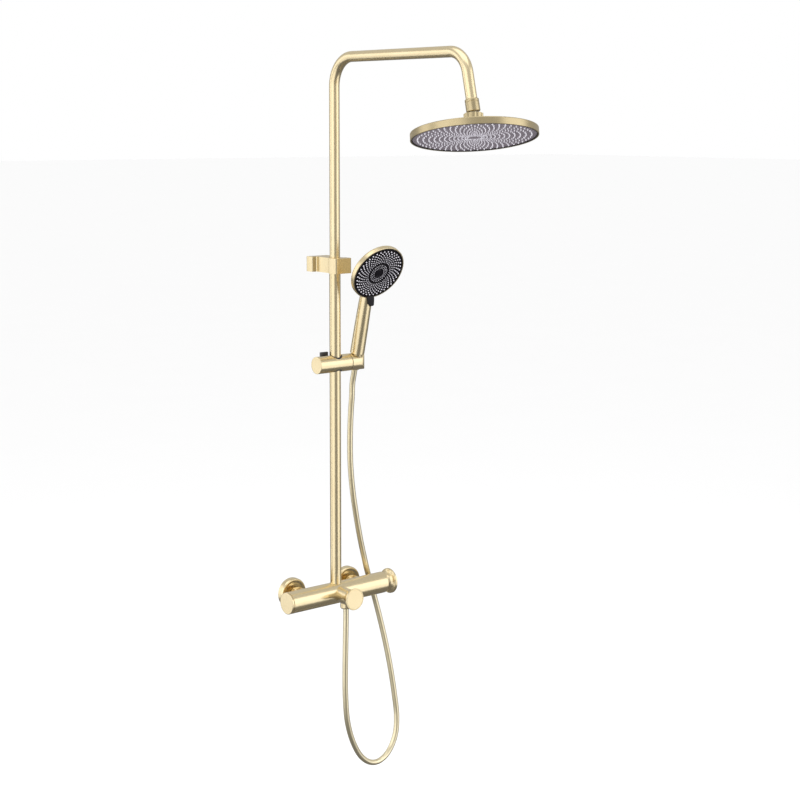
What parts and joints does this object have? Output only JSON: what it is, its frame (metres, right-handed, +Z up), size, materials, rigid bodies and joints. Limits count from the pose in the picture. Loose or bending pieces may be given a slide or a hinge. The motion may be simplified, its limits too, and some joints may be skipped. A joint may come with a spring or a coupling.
{
  "type": "shower column",
  "caption": "Shower column with a two-inlet mixer bar, a telescopic riser and tilting rain head, and a hand shower on a hose in a sliding, tilting holder.",
  "frame": {"origin": "on the finished wall, midway between the two inlets, level with the axis of the mixer bar", "axes": "+Z up along the riser, +Y into the wall, +X to the right for someone facing the wall, towards the diverter knob"},
  "size_m": [0.3146, 0.6439, 1.5792],
  "materials": {
    "gold_cast": "brushed champagne gold",
    "gold_tube": "brushed champagne gold",
    "gold_plastic": "metallised champagne gold, satin",
    "raw_brass": "machined",
    "steel": "plain",
    "black_gloss": "high gloss black",
    "dark_plastic": "matt dark grey",
    "ivory_plastic": "matt off white",
    "black_rubber": "matt",
    "silicone": "matt white silicone",
    "mauve_face": "satin grey mauve",
    "hose_metal": "flexible hose with a gold metallic skin"
  },
  "bodies": {
    "fixed": {"mixer_body": "gold_cast", "left_end_cap": "gold_cast", "mixing_cartridge": "ivory_plastic", "cartridge_nut": "raw_brass", "diverter_cartridge": "ivory_plastic", "diverter_nut": "raw_brass", "inlet_washer_left": "black_rubber", "inlet_washer_right": "black_rubber", "union_nut_left": "gold_cast", "union_nut_right": "gold_cast", "s_union_left": "raw_brass", "s_union_right": "raw_brass", "rosette_left": "gold_tube", "rosette_right": "gold_tube", "outlet_nipple": "raw_brass", "outlet_washer": "black_rubber", "hose_nut": "gold_cast", "hose": "hose_metal", "riser_nipple": "raw_brass", "riser_oring": "black_rubber", "lower_rail": "gold_tube", "bracket_body": "gold_cast", "bracket_bush": "ivory_plastic", "bracket_plate": "steel", "bracket_grub_screw": "steel"},
    "mixer_handle": {"mixer_spindle": "raw_brass", "mixer_knob": "gold_cast", "knob_grub_screw": "steel"},
    "diverter_handle": {"diverter_spindle": "raw_brass", "diverter_knob": "gold_cast"},
    "riser_slide": {"sliding_seal": "black_rubber"},
    "riser_arm": {"upper_pipe": "gold_tube", "swivel_nut": "gold_cast"},
    "swivel_seat": {"ball_seat": "ivory_plastic"},
    "rain_head": {"swivel_ball": "steel", "swivel_collar": "gold_cast", "rain_head_shell": "gold_tube", "rain_head_gasket": "black_rubber", "rain_head_face": "mauve_face", "rain_head_nozzle_mat": "silicone", "rain_head_baffle": "ivory_plastic"},
    "slider_sleeve": {"slider_liner": "dark_plastic"},
    "slider": {"slider_body": "gold_plastic", "button_spring": "steel", "friction_washer": "black_rubber"},
    "slider_catch": {"slider_button": "dark_plastic"},
    "holder": {"holder_cup": "gold_plastic", "pivot_screw": "steel"},
    "hose_end": {"cone_nut": "gold_plastic"},
    "handset": {"handset_washer": "black_rubber", "handset_shell": "gold_plastic", "handset_face": "black_gloss", "handset_nozzle_mat": "silicone", "handset_disc": "ivory_plastic"},
    "selector": {"spray_selector": "black_gloss"}
  },
  "joints": [
    {"name": "mixer_turn", "type": "hinge", "parent": "fixed", "child": "mixer_handle", "pos_m": [0, -0.115, 0], "axis": [0, -1, 0], "range_deg": [-90, 90]},
    {"name": "diverter_turn", "type": "hinge", "parent": "fixed", "child": "diverter_handle", "pos_m": [0.14, -0.065, 0], "axis": [1, 0, 0], "range_deg": [-45, 45]},
    {"name": "height_adjust", "type": "slide", "parent": "fixed", "child": "riser_slide", "axis": [0, 0, 1], "range_m": [-0.15, 0.15]},
    {"name": "arm_swing", "type": "hinge", "parent": "riser_slide", "child": "riser_arm", "pos_m": [0, -0.065, 0.71], "axis": [0, 0, 1], "range_deg": [-30, 30]},
    {"name": "head_tilt", "type": "hinge", "parent": "riser_arm", "child": "swivel_seat", "pos_m": [0, -0.49617, 1.0378], "axis": [1, 0, 0], "range_deg": [-8, 8]},
    {"name": "head_roll", "type": "hinge", "parent": "swivel_seat", "child": "rain_head", "pos_m": [0, -0.49617, 1.0378], "axis": [0, 1, 0], "range_deg": [-8, 8]},
    {"name": "slider_travel", "type": "slide", "parent": "fixed", "child": "slider_sleeve", "axis": [0, 0, 1], "range_m": [-0.33, 0.15], "deforming": ["hose"]},
    {"name": "slider_turn", "type": "hinge", "parent": "slider_sleeve", "child": "slider", "pos_m": [0, -0.065, 0.5046], "axis": [0, 0, 1], "range_deg": [-40, 25]},
    {"name": "button_press", "type": "slide", "parent": "slider", "child": "slider_catch", "axis": [0, 0, -1], "range_m": [0, 0.004], "stiffness_N_per_m": 500, "springref_m": -0.002, "deforming": ["button_spring"]},
    {"name": "holder_tilt", "type": "hinge", "parent": "slider", "child": "holder", "pos_m": [0.035, -0.065, 0.5046], "axis": [1, 0, 0], "range_deg": [-4, 40]},
    {"name": "handset_lift", "type": "slide", "parent": "holder", "child": "hose_end", "axis": [0, -0.2402, 0.9707], "range_m": [0, 0.06]},
    {"name": "handset_twist", "type": "hinge", "parent": "hose_end", "child": "handset", "pos_m": [0.056, -0.06956, 0.52304], "axis": [0, -0.2402, 0.9707], "range_deg": [-15, 60]},
    {"name": "selector_turn", "type": "hinge", "parent": "handset", "child": "selector", "pos_m": [0.056, -0.14348, 0.70017], "axis": [0, -0.8678, -0.497], "range_deg": [-18, 18]}
  ]
}
